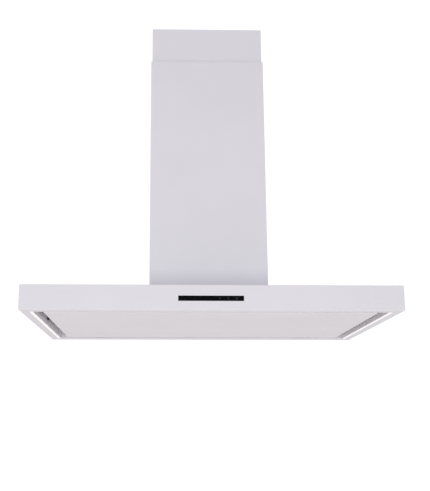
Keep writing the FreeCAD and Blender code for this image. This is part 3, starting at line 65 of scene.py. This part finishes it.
def canopy_underside_centre():
    low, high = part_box("canopy_shell")
    return Vector(((low.x + high.x) / 2, (low.y + high.y) / 2, low.z))


def add_camera():
    """Camera a little left of the hood and below it, looking up."""
    yaw, pitch, roll = CAMERA_YAW, CAMERA_PITCH, CAMERA_ROLL
    forward = Vector((-math.cos(pitch) * math.sin(yaw), math.cos(pitch) * math.cos(yaw),
                      math.sin(pitch)))
    level_right = Vector((math.cos(yaw), math.sin(yaw), 0.0))
    level_up = level_right.cross(forward)
    right = math.cos(roll) * level_right + math.sin(roll) * level_up
    up = math.cos(roll) * level_up - math.sin(roll) * level_right
    turn = Matrix((right, up, -forward)).transposed()
    data = bpy.data.cameras.new("camera")
    data.lens = LENS_MM
    data.sensor_width = SENSOR_WIDTH_MM
    data.shift_x = CAMERA_SHIFT_X
    data.clip_end = CAMERA_REACH
    camera = bpy.data.objects.new("camera", data)
    place = canopy_underside_centre() + CAMERA_FROM_CANOPY
    camera.matrix_world = Matrix.Translation(place) @ turn.to_4x4()
    bpy.context.scene.collection.objects.link(camera)
    bpy.context.scene.camera = camera


# ---- material helpers --------------------------------------------------------------------

class Paint:
    """A material under construction, with its principled shader at hand."""

    def __init__(self, name, roughness=0.5, metallic=0.0, **sockets):
        self.material = bpy.data.materials.new(name)
        self.material.use_nodes = True
        self.tree = self.material.node_tree
        self.shader = self.tree.nodes["Principled BSDF"]
        self.shader.inputs["Roughness"].default_value = roughness
        self.shader.inputs["Metallic"].default_value = metallic
        for socket, value in sockets.items():
            self.shader.inputs[socket.replace("_", " ")].default_value = value
        self.place = self.node("ShaderNodeTexCoord").outputs["Object"]

    def node(self, kind, **settings):
        made = self.tree.nodes.new(kind)
        for key, value in settings.items():
            setattr(made, key, value)
        return made

    def link(self, output, target):
        self.tree.links.new(output, target)
        return target

    def stretched(self, scale):
        """Object coordinates multiplied by a scale along each axis."""
        mapping = self.node("ShaderNodeMapping")
        self.link(self.place, mapping.inputs["Vector"])
        mapping.inputs["Scale"].default_value = scale
        return mapping.outputs["Vector"]

    def noise(self, scale, detail=4.0, roughness=0.5, stretch=(1, 1, 1)):
        texture = self.node("ShaderNodeTexNoise")
        texture.inputs["Scale"].default_value = scale
        texture.inputs["Detail"].default_value = detail
        texture.inputs["Roughness"].default_value = roughness
        self.link(self.stretched(stretch), texture.inputs["Vector"])
        return texture.outputs["Fac"]

    def cells(self, scale, feature="F1", output="Color", stretch=(1, 1, 1)):
        texture = self.node("ShaderNodeTexVoronoi", feature=feature)
        texture.inputs["Scale"].default_value = scale
        self.link(self.stretched(stretch), texture.inputs["Vector"])
        return texture.outputs[output]

    def ramp(self, value, stops):
        """Colours or greys by value; stops are (position, colour) pairs."""
        ramp = self.node("ShaderNodeValToRGB")
        elements = ramp.color_ramp.elements
        while len(elements) < len(stops):
            elements.new(0.5)
        for element, (position, colour) in zip(elements, stops):
            element.position = position
            element.color = colour if len(colour) == 4 else (*colour, 1.0)
        self.link(value, ramp.inputs["Fac"])
        return ramp.outputs["Color"]

    def spread(self, value, low, high, start=0.3, end=0.7):
        """Map a 0..1 pattern to a range of numbers."""
        node = self.node("ShaderNodeMapRange")
        node.inputs["From Min"].default_value = start
        node.inputs["From Max"].default_value = end
        node.inputs["To Min"].default_value = low
        node.inputs["To Max"].default_value = high
        self.link(value, node.inputs["Value"])
        return node.outputs["Result"]

    def mix(self, factor, first, second, blend="MIX"):
        """Blend two colours; each value may be a socket, a colour or a number."""
        node = self.node("ShaderNodeMix", data_type="RGBA", blend_type=blend)
        for index, value in ((0, factor), (6, first), (7, second)):
            socket = node.inputs[index]
            if isinstance(value, bpy.types.NodeSocket):
                self.link(value, socket)
            elif isinstance(value, tuple):
                socket.default_value = (*value, 1.0)
            else:
                socket.default_value = value
        return node.outputs[2]

    def colour(self, source):
        if isinstance(source, tuple):
            self.shader.inputs["Base Color"].default_value = (*source, 1.0)
        else:
            self.link(source, self.shader.inputs["Base Color"])

    def rough(self, source):
        self.link(source, self.shader.inputs["Roughness"])

    def bump(self, height, strength, distance):
        """Add one bump layer on top of those already there."""
        bump = self.node("ShaderNodeBump")
        bump.inputs["Strength"].default_value = strength
        bump.inputs["Distance"].default_value = distance
        self.link(height, bump.inputs["Height"])
        normal = self.shader.inputs["Normal"]
        if normal.is_linked:
            self.link(normal.links[0].from_socket, bump.inputs["Normal"])
        self.link(bump.outputs["Normal"], normal)


def shades(base, change):
    """Darker, plain and lighter version of one colour."""
    return [tuple(min(1.0, channel * (1.0 + step * change)) for channel in base)
            for step in (-1, 0, 1)]


def mottled(paint, base, change, scale):
    """Give the paint one colour with soft blotches a little darker and lighter."""
    dark, plain, light = shades(base, change)
    pattern = paint.noise(scale, detail=3.0)
    paint.colour(paint.ramp(pattern, [(0.35, dark), (0.5, plain), (0.65, light)]))


# ---- materials ---------------------------------------------------------------------------

POWDER_WHITE = (0.840, 0.828, 0.858)
SCREW_WHITE = (0.79, 0.78, 0.81)
CHIP_PITCH = 22.0 * MM
LIGHT_STRENGTH = 0.30


def white_powder_coat(name, base=POWDER_WHITE):
    """Satin powder coat: fine orange peel and a very slight change of shade."""
    paint = Paint(name, Coat_Weight=0.12, Coat_Roughness=0.35)
    mottled(paint, base, 0.012, 5.0)
    paint.rough(paint.spread(paint.noise(60.0), 0.40, 0.50))
    paint.bump(paint.noise(650.0, detail=2.0), 0.10, 0.0002)
    paint.bump(paint.noise(2600.0, detail=1.0), 0.05, 0.0001)
    return paint.material


def galvanised_steel():
    """Zinc spangle: flat crystals with their own shade, thin borders and faint rolling lines."""
    paint = Paint("galvanised_steel", metallic=0.85)
    crystals = paint.cells(85.0)
    shade = paint.ramp(crystals, [(0.15, (0.40, 0.41, 0.43)), (0.5, (0.50, 0.51, 0.53)),
                                  (0.85, (0.60, 0.61, 0.63))])
    border = paint.cells(85.0, feature="DISTANCE_TO_EDGE", output="Distance")
    border = paint.ramp(border, [(0.0, (0.75, 0.75, 0.76)), (0.05, (1.0, 1.0, 1.0))])
    paint.colour(paint.mix(0.6, shade, border, "MULTIPLY"))
    paint.rough(paint.spread(crystals, 0.30, 0.52, 0.2, 0.8))
    paint.bump(crystals, 0.06, 0.0002)
    paint.bump(paint.noise(900.0, stretch=(1, 1, 0.05)), 0.05, 0.0001)
    return paint.material


def zinc_screw():
    """Bright zinc plate with handling marks."""
    paint = Paint("zinc_screw", metallic=1.0)
    mottled(paint, (0.60, 0.61, 0.60), 0.14, 350.0)
    paint.rough(paint.spread(paint.noise(800.0), 0.22, 0.42))
    paint.bump(paint.noise(2200.0), 0.08, 0.0001)
    return paint.material


def drawn_aluminium():
    """Anodised extrusion with die lines along Y."""
    paint = Paint("anodised_aluminium", metallic=0.9)
    lines = paint.noise(1500.0, stretch=(1, 0.01, 1))
    paint.colour(paint.ramp(lines, [(0.3, (0.60, 0.61, 0.62)), (0.7, (0.70, 0.71, 0.72))]))
    paint.rough(paint.spread(lines, 0.30, 0.44))
    paint.bump(lines, 0.10, 0.0001)
    return paint.material


def filter_aluminium():
    """Bare expanded aluminium: bright strands, duller in the folds."""
    paint = Paint("filter_aluminium", metallic=0.95)
    mottled(paint, (0.66, 0.67, 0.68), 0.18, 140.0)
    paint.rough(paint.spread(paint.noise(500.0), 0.28, 0.48))
    paint.bump(paint.noise(1800.0), 0.10, 0.0001)
    return paint.material


def moulded_plastic(name, base, rough_low=0.42, rough_high=0.58):
    """Spark-eroded mould texture."""
    paint = Paint(name)
    mottled(paint, base, 0.08, 90.0)
    grain = paint.noise(1700.0, detail=2.0)
    paint.rough(paint.spread(grain, rough_low, rough_high))
    paint.bump(grain, 0.22, 0.0002)
    return paint.material


def mount_rubber():
    """Dull black rubber with a fine pebbled skin."""
    paint = Paint("mount_rubber", Specular_IOR_Level=0.3)
    mottled(paint, (0.020, 0.020, 0.021), 0.25, 260.0)
    paint.rough(paint.spread(paint.noise(700.0), 0.70, 0.88))
    paint.bump(paint.cells(1100.0, output="Distance"), 0.15, 0.0002)
    return paint.material


def motor_paint():
    """Dark stoving enamel with dust lying in it."""
    paint = Paint("motor_paint", Coat_Weight=0.1)
    dust = paint.noise(220.0, detail=8.0, roughness=0.7)
    paint.colour(paint.ramp(dust, [(0.35, (0.030, 0.033, 0.036)), (0.7, (0.075, 0.078, 0.080))]))
    paint.rough(paint.spread(dust, 0.38, 0.62))
    paint.bump(paint.noise(1200.0), 0.12, 0.0002)
    return paint.material


def wheel_steel():
    """Galvanised sheet of the blower wheel, streaked round the blades."""
    paint = Paint("wheel_steel", metallic=0.85)
    crystals = paint.cells(130.0)
    paint.colour(paint.ramp(crystals, [(0.2, (0.34, 0.35, 0.37)), (0.8, (0.52, 0.53, 0.55))]))
    paint.rough(paint.spread(crystals, 0.34, 0.55, 0.2, 0.8))
    paint.bump(paint.noise(1000.0), 0.06, 0.0001)
    return paint.material


def circuit_board(name, base):
    """Solder mask with a net of copper tracks just visible under it."""
    paint = Paint(name, Coat_Weight=0.3, Coat_Roughness=0.15)
    tracks = paint.cells(260.0, feature="DISTANCE_TO_EDGE", output="Distance")
    dark, plain, light = shades(base, 0.35)
    masks = paint.ramp(tracks, [(0.03, light), (0.07, plain), (0.5, dark)])
    speckle = paint.ramp(paint.noise(900.0, detail=1.0), [(0.70, (0, 0, 0)), (0.73, (1, 1, 1))])
    paint.colour(paint.mix(speckle, masks, (0.55, 0.52, 0.45)))
    paint.rough(paint.spread(tracks, 0.22, 0.36, 0.0, 0.3))
    paint.bump(tracks, 0.12, 0.0001)
    return paint.material


def led_board():
    """White flexible board; the chips along it carry yellow phosphor."""
    paint = Paint("led_board")
    coordinates = paint.node("ShaderNodeSeparateXYZ")
    paint.link(paint.place, coordinates.inputs["Vector"])
    wrap = paint.node("ShaderNodeMath", operation="PINGPONG")
    paint.link(coordinates.outputs["Y"], wrap.inputs[0])
    wrap.inputs[1].default_value = CHIP_PITCH / 2
    chips = paint.ramp(paint.spread(wrap.outputs[0], 0.0, 1.0, 0.0, CHIP_PITCH / 2),
                       [(0.84, (0, 0, 0)), (0.88, (1, 1, 1))])
    white = paint.ramp(paint.noise(120.0), [(0.3, (0.80, 0.80, 0.77)), (0.7, (0.88, 0.88, 0.86))])
    paint.colour(paint.mix(chips, white, (0.85, 0.66, 0.18)))
    paint.rough(paint.spread(paint.noise(500.0), 0.35, 0.5))
    paint.bump(paint.noise(700.0), 0.08, 0.0001)
    return paint.material


def opal_diffuser():
    """Opal cover lit from behind, with a slight drift in warmth along it."""
    paint = Paint("opal_diffuser", roughness=0.45)
    paint.colour(paint.ramp(paint.noise(300.0), [(0.3, (0.84, 0.83, 0.81)),
                                                 (0.7, (0.88, 0.87, 0.85))]))
    glow = paint.noise(45.0, detail=1.0, stretch=(0.2, 1, 0.2))
    paint.link(paint.ramp(glow, [(0.3, (1.0, 0.945, 0.925)), (0.7, (1.0, 0.965, 0.95))]),
               paint.shader.inputs["Emission Color"])
    paint.shader.inputs["Emission Strength"].default_value = LIGHT_STRENGTH
    paint.bump(paint.noise(1400.0), 0.12, 0.0001)
    return paint.material


def black_glass():
    """Back-printed black glass with a faint sheen and a few fine wipe marks."""
    paint = Paint("black_glass", Specular_IOR_Level=0.06)
    depth = paint.noise(40.0, stretch=(1, 1, 3))
    paint.colour(paint.ramp(depth, [(0.3, (0.0030, 0.0030, 0.0036)),
                                    (0.7, (0.0048, 0.0048, 0.0058))]))
    paint.rough(paint.spread(paint.noise(90.0, detail=6.0, stretch=(0.2, 1, 1)), 0.05, 0.14))
    return paint.material


def printed_icon():
    """Grey ceramic ink behind the glass."""
    paint = Paint("printed_icon")
    paint.colour(paint.ramp(paint.noise(2500.0), [(0.3, (0.055, 0.055, 0.062)),
                                                  (0.7, (0.085, 0.085, 0.092))]))
    paint.rough(paint.spread(paint.noise(1500.0), 0.3, 0.5))
    return paint.material


def slot_materials():
    """One finished material for each material slot of the record."""
    return {
        "white_paint": white_powder_coat("white_paint"),
        "white_screw": white_powder_coat("white_screw", SCREW_WHITE),
        "galvanised_steel": galvanised_steel(),
        "zinc_screw": zinc_screw(),
        "motor_paint": motor_paint(),
        "wheel_steel": wheel_steel(),
        "mount_rubber": mount_rubber(),
        "black_plastic": moulded_plastic("black_plastic", (0.018, 0.018, 0.020)),
        "grey_plastic": moulded_plastic("grey_plastic", (0.32, 0.33, 0.34)),
        "white_plastic": moulded_plastic("white_plastic", (0.72, 0.72, 0.71)),
        "green_board": circuit_board("green_board", (0.018, 0.115, 0.048)),
        "terminal_plastic": moulded_plastic("terminal_plastic", (0.03, 0.10, 0.30)),
        "capacitor_plastic": moulded_plastic("capacitor_plastic", (0.62, 0.62, 0.58), 0.30, 0.42),
        "white_aluminium": white_powder_coat("white_aluminium"),
        "anodised_aluminium": drawn_aluminium(),
        "filter_aluminium": filter_aluminium(),
        "led_board": led_board(),
        "opal_diffuser": opal_diffuser(),
        "black_glass": black_glass(),
    }


def paint_nodes(materials):
    """Give every CAD node the finished material of its slot."""
    for entry in frame["record"]["subparts"]:
        mesh = NODES[entry["node"]].data
        mesh.materials.clear()
        mesh.materials.append(materials[entry["material_slot"]])


# ---- pieces ------------------------------------------------------------------------------

def add_piece(name, mesh, material, body):
    """Put a piece's mesh in the scene, riding on one body of the frame."""
    piece = bpy.data.objects.new(name, mesh)
    bpy.context.scene.collection.objects.link(piece)
    mesh.materials.clear()
    mesh.materials.append(material)
    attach(piece, body)
    return piece


def applied(mesh, add_modifiers):
    """The mesh as it looks after some modifiers."""
    holder = bpy.data.objects.new("holder", mesh)
    bpy.context.scene.collection.objects.link(holder)
    add_modifiers(holder)
    depsgraph = bpy.context.evaluated_depsgraph_get()
    result = bpy.data.meshes.new_from_object(holder.evaluated_get(depsgraph))
    bpy.data.objects.remove(holder)
    bpy.data.meshes.remove(mesh)
    return result


DIAMOND_X = 12.0 * MM
DIAMOND_Y = 6.0 * MM
STRAND = 1.0 * MM
PAD_FOLDS = 13
FOLDS_OFF_FLAT = 1.6 * STRAND      # lowest point of the corrugated sheet
HANDLE_HALF_X = 30.0 * MM
HANDLE_DEPTH = 40.0 * MM


def diamond_sheet(low, high, height_at):
    """Expanded-metal sheet between two corners, left open round the filter's handle plate."""
    grid = bmesh.new()
    corners = {}

    def corner(column, row):
        if (column, row) not in corners:
            x = low.x + column * DIAMOND_X / 2
            y = low.y + row * DIAMOND_Y / 2
            corners[column, row] = grid.verts.new((x, y, height_at(x, y)))
        return corners[column, row]

    middle = (low.x + high.x) / 2
    columns = int((high.x - low.x) / (DIAMOND_X / 2))
    rows = int((high.y - low.y) / (DIAMOND_Y / 2))
    for column in range(1, columns):
        for row in range(1, rows):
            if (column + row) % 2:
                continue
            x = low.x + column * DIAMOND_X / 2
            y = low.y + row * DIAMOND_Y / 2
            beside_handle = abs(x - middle) < HANDLE_HALF_X + DIAMOND_X / 2
            if beside_handle and y < low.y + HANDLE_DEPTH + DIAMOND_Y / 2:
                continue
            grid.faces.new((corner(column - 1, row), corner(column, row - 1),
                            corner(column + 1, row), corner(column, row + 1)))
    mesh = bpy.data.meshes.new("diamonds")
    grid.to_mesh(mesh)
    grid.free()
    return mesh


def wired(holder):
    """Turn every edge of the sheet into a metal strand."""
    wire = holder.modifiers.new("strands", "WIREFRAME")
    wire.thickness = STRAND
    wire.use_even_offset = False
    wire.use_boundary = True


def filter_pad(side, material):
    """Two expanded-metal sheets: a flat one underneath and a corrugated one above it."""
    node = "filter_mesh_" + side
    low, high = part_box(node)
    flat_height = low.z + STRAND / 2
    wave_low = low.z + FOLDS_OFF_FLAT
    wave_rise = high.z - STRAND / 2 - wave_low

    def flat(x, y):
        return flat_height

    def wavy(x, y):
        turn = 2 * math.pi * PAD_FOLDS * (x - low.x) / (high.x - low.x)
        return wave_low + wave_rise * (0.5 + 0.5 * math.sin(turn))

    joined = bmesh.new()
    for height_at in (flat, wavy):
        sheet = applied(diamond_sheet(low, high, height_at), wired)
        joined.from_mesh(sheet)
        bpy.data.meshes.remove(sheet)
    mesh = bpy.data.meshes.new(node)
    joined.to_mesh(mesh)
    joined.free()
    pad = add_piece("filter_pad_" + side, mesh, material, "hood_body")
    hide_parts(node)


ICON_PITCH = 20.0 * MM
ICON_RADIUS = 2.2 * MM
ICON_LINE = 0.5 * MM
ICON_RELIEF = 0.03 * MM
ICON_ROOT = 4 * ICON_RELIEF        # each stroke starts behind the face of the glass
ARC_STEPS = 16


def stroke(points):
    """Left and right edge of a flat ribbon along a list of (x, z) points."""
    half = ICON_LINE / 2
    left, right = [], []
    for index, point in enumerate(points):
        before = points[max(index - 1, 0)]
        after = points[min(index + 1, len(points) - 1)]
        along = (Vector(after) - Vector(before)).normalized()
        side = Vector((-along.y, along.x)) * half
        left.append(Vector(point) + side)
        right.append(Vector(point) - side)
    return left, right


def arc_points(radius, start, end):
    """Points along an arc round a sign's centre, between two angles in degrees."""
    points = []
    for step in range(ARC_STEPS + 1):
        turn = math.radians(start + (end - start) * step / ARC_STEPS)
        points.append((radius * math.cos(turn), radius * math.sin(turn)))
    return points


def icon_strokes():
    """Generic touch signs by their place along the strip: plus, lamp and power."""
    r = ICON_RADIUS
    return {
        1: [[(-r, 0.0), (r, 0.0)], [(0.0, -r), (0.0, r)]],
        2: [arc_points(r * 0.7, -50, 230), [(-r * 0.45, -r), (r * 0.45, -r)]],
        3: [arc_points(r, -240, 60), [(0.0, r * 0.2), (0.0, r * 1.1)]],
    }


def touch_icons(material):
    """Printed signs on the control glass, one thin solid for each stroke."""
    low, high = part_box("control_glass")
    centre_x = (low.x + high.x) / 2
    centre_z = (low.z + high.z) / 2
    front = low.y - ICON_RELIEF
    signs = bmesh.new()
    for place, strokes in icon_strokes().items():
        for points in strokes:
            left, right = stroke(points)
            rings = []
            for a, b in zip(left, right):
                ring = []
                for point, depth in ((a, 0.0), (b, 0.0), (b, ICON_ROOT), (a, ICON_ROOT)):
                    x = centre_x + place * ICON_PITCH + point.x
                    ring.append(signs.verts.new((x, front + depth, centre_z + point.y)))
                rings.append(ring)
            for first, second in zip(rings, rings[1:]):
                for k in range(4):
                    n = (k + 1) % 4
                    signs.faces.new((first[k], first[n], second[n], second[k]))
            signs.faces.new(rings[0][::-1])
            signs.faces.new(rings[-1])
    bmesh.ops.recalc_face_normals(signs, faces=signs.faces)
    mesh = bpy.data.meshes.new("touch_icons")
    signs.to_mesh(mesh)
    signs.free()
    add_piece("touch_icons", mesh, material, "hood_body")


# ---- studio ------------------------------------------------------------------------------

FLOOR_BELOW_CANOPY = 2.6
FLOOR_HALF = 14.0
FLOOR_GLOW = 0.18
FLOOR_GLOW_COLOUR = (1.0, 0.95, 0.93, 1.0)


def studio_floor():
    """Plain pale floor, bright enough to run into the background."""
    mesh = bpy.data.meshes.new("studio_floor")
    level = canopy_underside_centre().z - FLOOR_BELOW_CANOPY
    corners = [(-FLOOR_HALF, -FLOOR_HALF, level), (FLOOR_HALF, -FLOOR_HALF, level),
               (FLOOR_HALF, FLOOR_HALF, level), (-FLOOR_HALF, FLOOR_HALF, level)]
    mesh.from_pydata(corners, [], [(0, 1, 2, 3)])
    paint = Paint("studio_floor", roughness=0.9)
    paint.colour(paint.ramp(paint.noise(1.5), [(0.3, (0.86, 0.83, 0.815)),
                                               (0.7, (0.90, 0.87, 0.855))]))
    paint.shader.inputs["Emission Color"].default_value = FLOOR_GLOW_COLOUR
    paint.shader.inputs["Emission Strength"].default_value = FLOOR_GLOW
    mesh.materials.append(paint.material)
    floor = bpy.data.objects.new("studio_floor", mesh)
    bpy.context.scene.collection.objects.link(floor)


LIGHT_FROM_ABOVE = 0.80
LIGHT_FROM_LEVEL = 0.36
SKY_COLOUR = (0.96, 0.955, 1.0, 1.0)
BACKDROP_STRENGTH = 1.1


def studio_world():
    """White background; the light it gives is softer from above."""
    world = bpy.data.worlds.new("studio")
    world.use_nodes = True
    tree = world.node_tree
    background = tree.nodes["Background"]
    background.inputs["Color"].default_value = SKY_COLOUR
    coordinates = tree.nodes.new("ShaderNodeTexCoord")
    split = tree.nodes.new("ShaderNodeSeparateXYZ")
    tree.links.new(coordinates.outputs["Generated"], split.inputs["Vector"])
    ramp = tree.nodes.new("ShaderNodeMapRange")
    ramp.inputs["From Min"].default_value = 0.0
    ramp.inputs["From Max"].default_value = 0.8
    ramp.inputs["To Min"].default_value = LIGHT_FROM_LEVEL
    ramp.inputs["To Max"].default_value = LIGHT_FROM_ABOVE
    tree.links.new(split.outputs["Z"], ramp.inputs["Value"])
    path = tree.nodes.new("ShaderNodeLightPath")
    choose = tree.nodes.new("ShaderNodeMix")
    tree.links.new(path.outputs["Is Camera Ray"], choose.inputs[0])
    tree.links.new(ramp.outputs["Result"], choose.inputs[2])
    choose.inputs[3].default_value = BACKDROP_STRENGTH
    tree.links.new(choose.outputs[0], background.inputs["Strength"])
    bpy.context.scene.world = world


def soft_light(name, place, target, size, power, colour):
    """Rectangular area light at a place, facing a target."""
    data = bpy.data.lights.new(name, "AREA")
    data.shape = "RECTANGLE"
    data.size, data.size_y = size
    data.energy = power
    data.color = colour
    light = bpy.data.objects.new(name, data)
    light.location = place
    light.rotation_euler = (target - place).to_track_quat("-Z", "Y").to_euler()
    bpy.context.scene.collection.objects.link(light)


def add_lights():
    """A wide soft light in front and below, and a cooler one from the left."""
    middle = canopy_underside_centre()
    soft_light("front_low", middle + Vector((0.0, -2.7, -0.62)), middle + Vector((0.0, -0.3, 0.1)),
               (2.2, 0.8), 15.0, (1.0, 0.985, 0.985))
    soft_light("key_left", middle + Vector((-2.6, -2.4, 0.3)), middle + Vector((-0.3, -0.3, 0.1)),
               (1.2, 1.2), 10.0, (0.78, 0.86, 1.0))


# ---- put together ------------------------------------------------------------------------

bpy.context.scene.view_settings.view_transform = "Standard"
add_camera()
studio_floor()
studio_world()
add_lights()

finishes = slot_materials()
paint_nodes(finishes)
for filter_side in ("left", "right"):
    filter_pad(filter_side, finishes["filter_aluminium"])
touch_icons(printed_icon())
